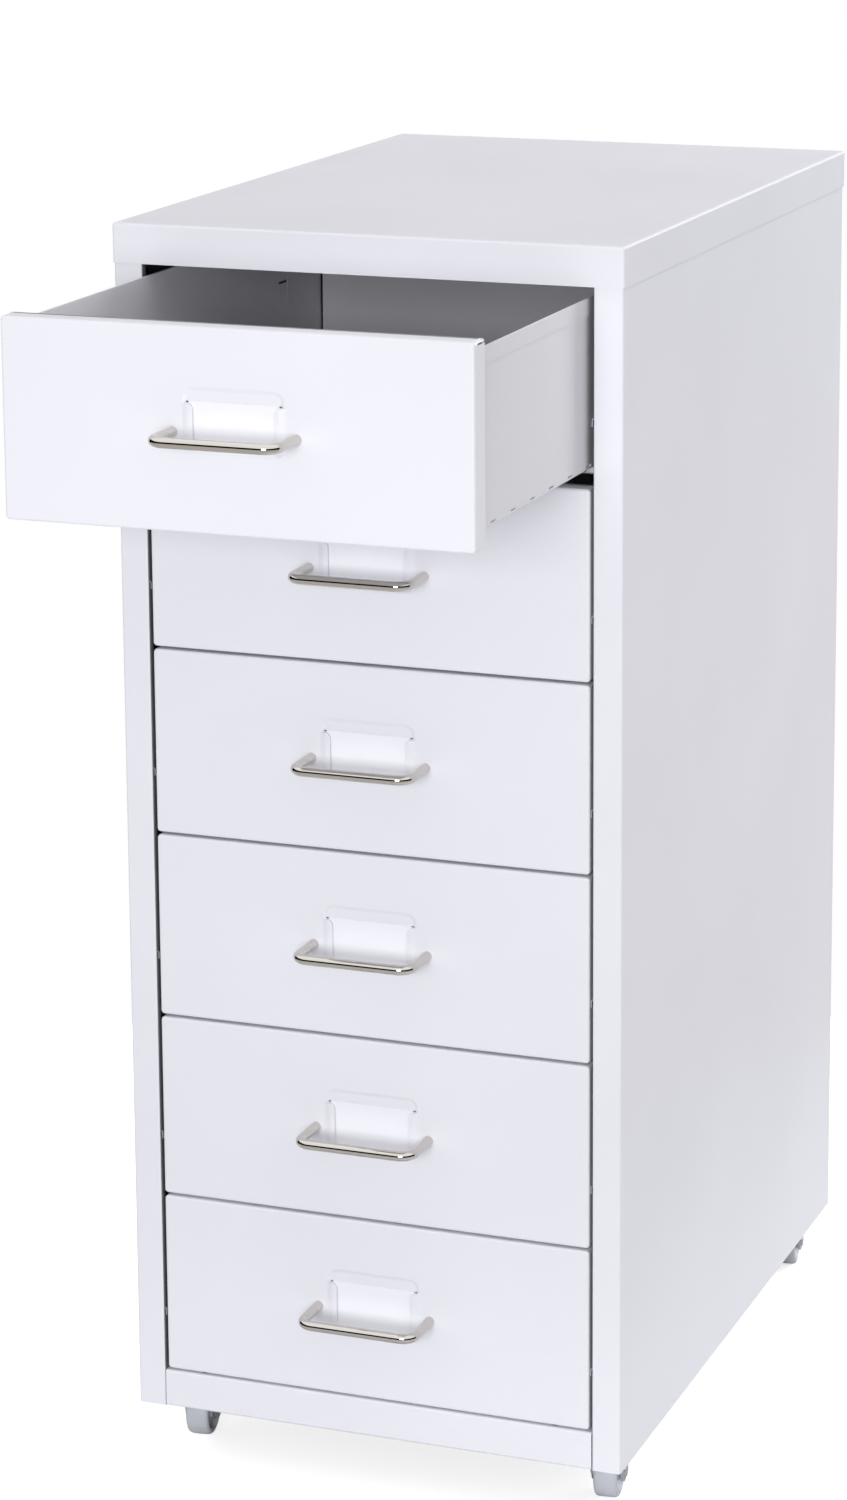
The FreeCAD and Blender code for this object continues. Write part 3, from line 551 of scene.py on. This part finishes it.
def moulded(name, tone, rough):
    """Moulded plastic or rubber: one tone through and through, with the mould's fine grain."""
    material, tree, shader = new_material(name)
    place = add_node(tree, "ShaderNodeTexCoord")
    grain = add_node(
        tree, "ShaderNodeTexNoise", {"Scale": 1 / (MOULD_GRAIN * MM), "Detail": 2.0},
        {"Vector": place.outputs["Object"]}
    )
    relief = add_node(
        tree, "ShaderNodeBump", {"Strength": 0.08, "Distance": 0.0001}, {"Height": grain.outputs["Fac"]}
    )
    tree.links.new(relief.outputs["Normal"], shader.inputs["Normal"])
    gloss = add_node(
        tree, "ShaderNodeMapRange", {"To Min": rough - 0.06, "To Max": rough + 0.06},
        {"Value": grain.outputs["Fac"]}
    )
    tree.links.new(gloss.outputs["Result"], shader.inputs["Roughness"])
    shader.inputs["Base Color"].default_value = linear(tone)
    shader.inputs["IOR"].default_value = 1.53
    return material


soften("runner_glides", 0.4, moulded("white nylon", "#e9e9e4", 0.42))
soften("rail_buffers", 0.3, moulded("black rubber", "#1b1b1d", 0.7))


# ---------------------------------------------------------------- drawer fronts
# Six folded fronts. The top edge runs back into a flange with a small rolled hem. In the
# middle a label field is pressed in, and a lip is lanced out on each side of it to hold a
# card; each lance starts at a small relief slot.

FRONT_CORNER = 2.0
# The top fold begins this far round the upper corners, as a share of their radius.
TOP_STARTS = 0.35
FRONT_FOLD_OUT = 1.5
SIDE_RETURN = 14.0
TOP_RETURN = 11.6
HEM_DROP = 3.0
FIELD_HALF = 25.7
FIELD_TOP = 20.6
FIELD_FOOT = 10.5
FIELD_SINK = 0.7
FIELD_SLOPE = 2.6
FIELD_CORNER = 5.0
LIP_WIDTH = 4.8
LIP_RISE = 1.0
LIP_TOP = 13.2
LIP_CORNER = 3.0
LIP_ROOT = 1.6
LIP_RAMP = 4.2
LIP_SUNK = 0.05
LIP_LIFT = 1.5
LIP_EDGE = 0.35
LIP_EDGE_BREAK = 0.1
LIP_STEPS = 5
FIELD_OUTLINE = 1
RELIEF_IN = 1.5
RELIEF_HALF = 0.75
RELIEF_RISE = 0.35
RELIEF_ROUND = 0.34
RELIEF_ABOVE_LIP = 0.6
SLIT_START = 4.5
SLIT_LOW, SLIT_HIGH = 2.3, 1.2
SLIT_ROUND = 0.5
CUTTER_STEPS = 4
CUT_BEFORE, CUT_BEHIND = 2, 3
HEM_SHEET = 0.5
HEM_BEND = 1.4
HEM_REACH = 1.8
HEM_TONGUE = 1.2
HEM_LAP = 1.5
HEM_SHORT = 0.4


def front_skin(left, right, low_edge, high_edge, face, middle):
    """The pressed front, from the ends of its returns round to the label field's floor."""
    rim = rounded_loop(left, right, low_edge, high_edge, FRONT_CORNER)
    top_starts = high_edge - TOP_STARTS * FRONT_CORNER
    loops = [[
        (x, face + (TOP_RETURN if z > top_starts else SIDE_RETURN), z) for x, z in rim
    ]]
    for step in range(FOLD_STEPS + 1):
        angle = math.radians(90 * step / FOLD_STEPS)
        inset = FRONT_FOLD_OUT * (1 - math.cos(angle))
        depth = FRONT_FOLD_OUT * (1 - math.sin(angle))
        ring = rounded_loop(
            left + inset, right - inset, low_edge + inset, high_edge - inset,
            FRONT_CORNER - CORNER_SHRINK * inset
        )
        loops.append([(x, face + depth, z) for x, z in ring])
    for step in range(FOLD_STEPS + 1):
        part = step / FOLD_STEPS
        inset = FIELD_SLOPE * part
        depth = FIELD_SINK * (1 - math.cos(math.pi * part)) / 2
        ring = rounded_loop(
            -FIELD_HALF - FIELD_OUTLINE + inset,
            FIELD_HALF + FIELD_OUTLINE - inset,
            middle - FIELD_FOOT - FIELD_OUTLINE + inset,
            middle + FIELD_TOP + FIELD_OUTLINE - inset,
            FIELD_CORNER + FIELD_OUTLINE - inset,
        )
        loops.append([(x, face + depth, z) for x, z in ring])
    return skin(loops)


def lip(side, face, middle):
    """A lanced lip: it lifts off the face, crosses the field's edge and has a round corner."""
    edge = FIELD_HALF - LIP_WIDTH
    out = FIELD_HALF + LIP_ROOT
    section = [(out, LIP_SUNK)]
    for step in range(1, LIP_STEPS + 1):
        part = step / LIP_STEPS
        rise = (LIP_RISE + LIP_SUNK) * (1 - math.cos(math.pi * part)) / 2
        section.append((out - LIP_RAMP * part, LIP_SUNK - rise))
    section += [
        (edge + LIP_EDGE, -LIP_RISE),
        (edge + LIP_EDGE_BREAK, -LIP_RISE + LIP_EDGE_BREAK),
        (edge, -LIP_RISE + LIP_EDGE),
        (edge, SHEET - LIP_RISE),
        (FIELD_HALF - FIELD_OUTLINE, SHEET - LIP_RISE),
        (out, SHEET),
    ]
    levels = [(middle - FIELD_FOOT + LIP_LIFT, 0.0), (middle + LIP_TOP - LIP_CORNER, 0.0)]
    for step in range(1, LIP_STEPS + 1):
        angle = math.radians(90 * step / LIP_STEPS)
        levels.append((
            middle + LIP_TOP - LIP_CORNER * (1 - math.sin(angle)), LIP_CORNER * (1 - math.cos(angle))
        ))
    count = len(section)
    points = []
    for level, back_off in levels:
        points += [(side * max(x, edge + back_off), face + y, level) for x, y in section]
    faces = []
    for row in range(len(levels) - 1):
        for index in range(count):
            after = (index + 1) % count
            faces.append((
                row * count + index, row * count + after, (row + 1) * count + after, (row + 1) * count + index
            ))
    faces.append(tuple(range(count)))
    faces.append(tuple((len(levels) - 1) * count + index for index in range(count)))
    return points, faces


def hem(left, right, face, top):
    """The rolled end of the top flange: a short tongue curled down and forward."""
    end = face + TOP_RETURN
    back = end + HEM_REACH
    corners = [(end - HEM_TONGUE, top - HEM_DROP), (back, top - HEM_DROP), (back, top), (end - HEM_LAP, top)]
    section = folded(corners, [HEM_BEND, HEM_BEND], HEM_SHEET)
    return strip(section, left + HEM_SHORT, right - HEM_SHORT, along_x)


def closed_bar(near, far):
    """A closed bar between two outlines."""
    points, faces = skin([far, near])
    faces.append(tuple(reversed(range(len(near)))))
    return points, faces


def relief_slots(name, low, high, face, middle):
    """Cutters for the slots at the lips' upper corners and under the ends of the top flange."""
    slots = []
    for side in (-1, 1):
        centre = side * (FIELD_HALF - RELIEF_IN)
        level = middle + LIP_TOP + RELIEF_ABOVE_LIP
        ring = rounded_loop(
            centre - RELIEF_HALF, centre + RELIEF_HALF, level - RELIEF_RISE, level + RELIEF_RISE,
            RELIEF_ROUND, CUTTER_STEPS
        )
        slots.append(closed_bar(
            [(x, face - CUT_BEFORE, z) for x, z in ring], [(x, face + CUT_BEHIND, z) for x, z in ring]
        ))
        end = high.x if side > 0 else low.x
        through = side * CUT_BEFORE
        ring = rounded_loop(
            face + SLIT_START, face + SIDE_RETURN + 1, high.z - SLIT_LOW, high.z - SLIT_HIGH,
            SLIT_ROUND, CUTTER_STEPS
        )
        slots.append(closed_bar(
            [(end - through, y, z) for y, z in ring], [(end + through, y, z) for y, z in ring]
        ))
    return new_piece(name, *together(slots), white_coat, solid=True)


for number in range(1, 7):
    node = f"drawer_{number}_front"
    low, high = box_of(node)
    face = high.y - SIDE_RETURN
    middle = (low.z + high.z) / 2
    sheet_front = new_piece(
        f"drawer_{number}_pressed_front", *front_skin(low.x, high.x, low.z, high.z, face, middle), white_coat
    )
    thicken(sheet_front)
    cutter = relief_slots(f"cutter_{number}", low, high, face, middle)
    cut = sheet_front.modifiers.new("relief_slots", "BOOLEAN")
    cut.object = cutter
    cut.solver = "EXACT"
    bpy.context.view_layer.objects.active = sheet_front
    sheet_front.select_set(True)
    sheet_front.modifiers.remove(sheet_front.modifiers["even_shading"])
    for modifier in ("sheet", "relief_slots"):
        bpy.ops.object.modifier_apply(modifier=modifier)
    sheet_front.select_set(False)
    sheet_front.data.set_sharp_from_angle(angle=SHARP_EDGE)
    even_shading(sheet_front)
    bpy.data.objects.remove(cutter)
    mount_piece(sheet_front, f"drawer_{number}", node)

    trims = [lip(-1, face, middle), lip(1, face, middle), hem(low.x, high.x, face, high.z)]
    trim = new_piece(f"drawer_{number}_lips_and_hem", *together(trims), white_coat, solid=True)
    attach(even_shading(trim), f"drawer_{number}")


# ---------------------------------------------------------------- label cards
# A strip of uncoated white card, slipped in behind the lips from above. It bows a little, as
# paper does when it takes up damp.

CARD_BOW = 0.1
CARD_COLUMNS = 12


def uncoated_card(name):
    """Uncoated paper board: dead matt, with fibres about half a millimetre long."""
    material, tree, shader = new_material(name)
    place = add_node(tree, "ShaderNodeTexCoord")
    fibre = add_node(
        tree, "ShaderNodeTexNoise", {"Scale": 1800.0, "Detail": 5.0}, {"Vector": place.outputs["Object"]}
    )
    relief = add_node(
        tree, "ShaderNodeBump", {"Strength": 0.12, "Distance": 0.0001}, {"Height": fibre.outputs["Fac"]}
    )
    tree.links.new(relief.outputs["Normal"], shader.inputs["Normal"])
    shader.inputs["Base Color"].default_value = linear("#f2f2f8")
    shader.inputs["Roughness"].default_value = 0.82
    return material


card_stock = uncoated_card("uncoated white card")

for number in range(1, 7):
    node = f"drawer_{number}_label_card"
    low, high = box_of(node)
    points = []
    for column in range(CARD_COLUMNS + 1):
        part = column / CARD_COLUMNS
        across = low.x + (high.x - low.x) * part
        bow = CARD_BOW * math.cos(math.pi * (part - 0.5))
        for depth in (low.y + 0.06 - bow, high.y - bow):
            for level in (low.z, high.z):
                points.append((across, depth, level))
    faces = [(0, 1, 3, 2), tuple(4 * CARD_COLUMNS + index for index in (0, 2, 3, 1))]
    for column in range(CARD_COLUMNS):
        start = 4 * column
        for a, b in ((0, 1), (1, 3), (3, 2), (2, 0)):
            faces.append((start + a, start + b, start + 4 + b, start + 4 + a))
    card = new_piece(f"drawer_{number}_card", points, faces, card_stock, solid=True)
    mount_piece(even_shading(card), f"drawer_{number}", node)


# ---------------------------------------------------------------- trays
# The drawers' bodies: folded steel trays with a hem round the rim, a stop tab lanced in each
# wall and the tabs of the floor showing as a row of slots. The coat is a shade greyer than the
# carcass's, in part as painted shade for the shadowed insides of the trays.

tray_coat_partly_painted_shade = powder_coat("tray powder coat greyed partly as painted shade", "#e0e0e4", "#dcdce0")
for number in range(1, 7):
    soften(f"drawer_{number}_tray", 0.18, tray_coat_partly_painted_shade)


# ---------------------------------------------------------------- handles
# Pulls bent from drawn wire and bright nickel plated: nickel is a mirror with a warm cast,
# and the drawing leaves very faint lines along the wire.

WIRE = 5.5
WIRE_BEND = 7.0
BEND_STEPS = 12


def nickel_plate(name):
    """Bright nickel over drawn steel: lines finer than a millimetre run along the wire."""
    material, tree, shader = new_material(name)
    place = add_node(tree, "ShaderNodeTexCoord")
    stretch = add_node(
        tree, "ShaderNodeMapping", {"Scale": (40.0, 1200.0, 1200.0)}, {"Vector": place.outputs["Object"]}
    )
    lines = add_node(
        tree, "ShaderNodeTexNoise", {"Scale": 1.0, "Detail": 3.0}, {"Vector": stretch.outputs["Vector"]}
    )
    gloss = add_node(
        tree, "ShaderNodeMapRange", {"To Min": 0.02, "To Max": 0.06}, {"Value": lines.outputs["Fac"]}
    )
    tree.links.new(gloss.outputs["Result"], shader.inputs["Roughness"])
    shader.inputs["Base Color"].default_value = linear("#cbc7c1")
    shader.inputs["Metallic"].default_value = 1.0
    return material


bright_nickel = nickel_plate("bright nickel plated wire")

for number in range(1, 7):
    node = f"drawer_{number}_handle"
    low, high = box_of(node)
    # The CAD wire is faceted, so its box is a hair off the whole millimetre of the legs' span.
    half = round((high.x - low.x - WIRE) / 2)
    level = (low.z + high.z) / 2
    reach = low.y + WIRE / 2
    line = [(-half, high.y)]
    for side, start in ((-1, 180), (1, 270)):
        for step in range(BEND_STEPS + 1):
            angle = math.radians(start + 90 * step / BEND_STEPS)
            line.append((
                side * (half - WIRE_BEND) + WIRE_BEND * math.cos(angle),
                reach + WIRE_BEND + WIRE_BEND * math.sin(angle),
            ))
    line.append((half, high.y))
    wire = bpy.data.curves.new(f"drawer_{number}_wire_pull", "CURVE")
    wire.dimensions = "3D"
    wire.bevel_depth = WIRE / 2 * MM
    wire.bevel_resolution = 8
    wire.use_fill_caps = True
    run = wire.splines.new("POLY")
    run.points.add(len(line) - 1)
    for point, (x, y) in zip(run.points, line):
        point.co = (x * MM, y * MM, level * MM, 1)
    wire.materials.append(bright_nickel)
    pull = bpy.data.objects.new(f"drawer_{number}_wire_pull", wire)
    bpy.context.collection.objects.link(pull)
    mount_piece(pull, f"drawer_{number}", node)
    soften(f"drawer_{number}_handle_screws", 0.3, bright_zinc)


# ---------------------------------------------------------------- casters
# Four small swivel casters: a zinc plated stem and pressed fork, and a wheel moulded in
# light grey nylon with a rounded tread, a dished side and a raised hub.

WHEEL_RADIUS = 15.0
WHEEL_STEPS = 64


def lathe(profile, place):
    """Turn a closed profile of (along the axis, radius) about X, then put it in place."""
    points, faces = [], []
    count = len(profile)
    for step in range(WHEEL_STEPS):
        angle = math.tau * step / WHEEL_STEPS
        for along, radius in profile:
            points.append(place @ Vector((along, radius * math.cos(angle), radius * math.sin(angle))))
    for step in range(WHEEL_STEPS):
        after = (step + 1) % WHEEL_STEPS
        for index in range(count):
            other = (index + 1) % count
            faces.append((
                step * count + index, step * count + other, after * count + other, after * count + index
            ))
    return points, faces


# From the middle of the tread over its shoulder, down the dish and up on the hub to the bore.
side_profile = [
    (0.0, WHEEL_RADIUS), (4.4, WHEEL_RADIUS - 0.1), (5.4, WHEEL_RADIUS - 0.4), (6.1, WHEEL_RADIUS - 1.0),
    (6.4, WHEEL_RADIUS - 1.7), (6.5, WHEEL_RADIUS - 2.4), (6.4, 11.9), (6.0, 11.5), (4.6, 11.0), (4.1, 10.6),
    (3.9, 10.0), (3.9, 6.9), (4.1, 6.4), (4.6, 6.0), (6.0, 5.5),
    (6.4, 5.2), (6.5, 4.8), (6.5, 2.7), (6.3, 2.55),
]
wheel_profile = side_profile + [(-x, r) for x, r in reversed(side_profile) if x > 0]

grey_nylon = moulded("light grey nylon", "#c6c9cf", 0.45)

for joint in frame["joints"]:
    if not joint["name"].endswith("_roll"):
        continue
    where = joint["name"][:-len("_roll")]
    node = f"{where}_caster_wheel"
    low, high = box_of(node)
    turn = math.atan2(joint["axis"][1], joint["axis"][0])
    place = Matrix.Translation((low + high) / 2) @ Matrix.Rotation(turn, 4, "Z")
    wheel = new_piece(f"{where}_moulded_wheel", *lathe(wheel_profile, place), grey_nylon, solid=True)
    mount_piece(wheel, f"{where}_wheel", node)
    for part, width in (("fork", 0.35), ("stem", 0.25), ("axle", 0.25)):
        soften(f"{where}_caster_{part}", width, bright_zinc)

soften("caster_nuts", 0.4, bright_zinc)
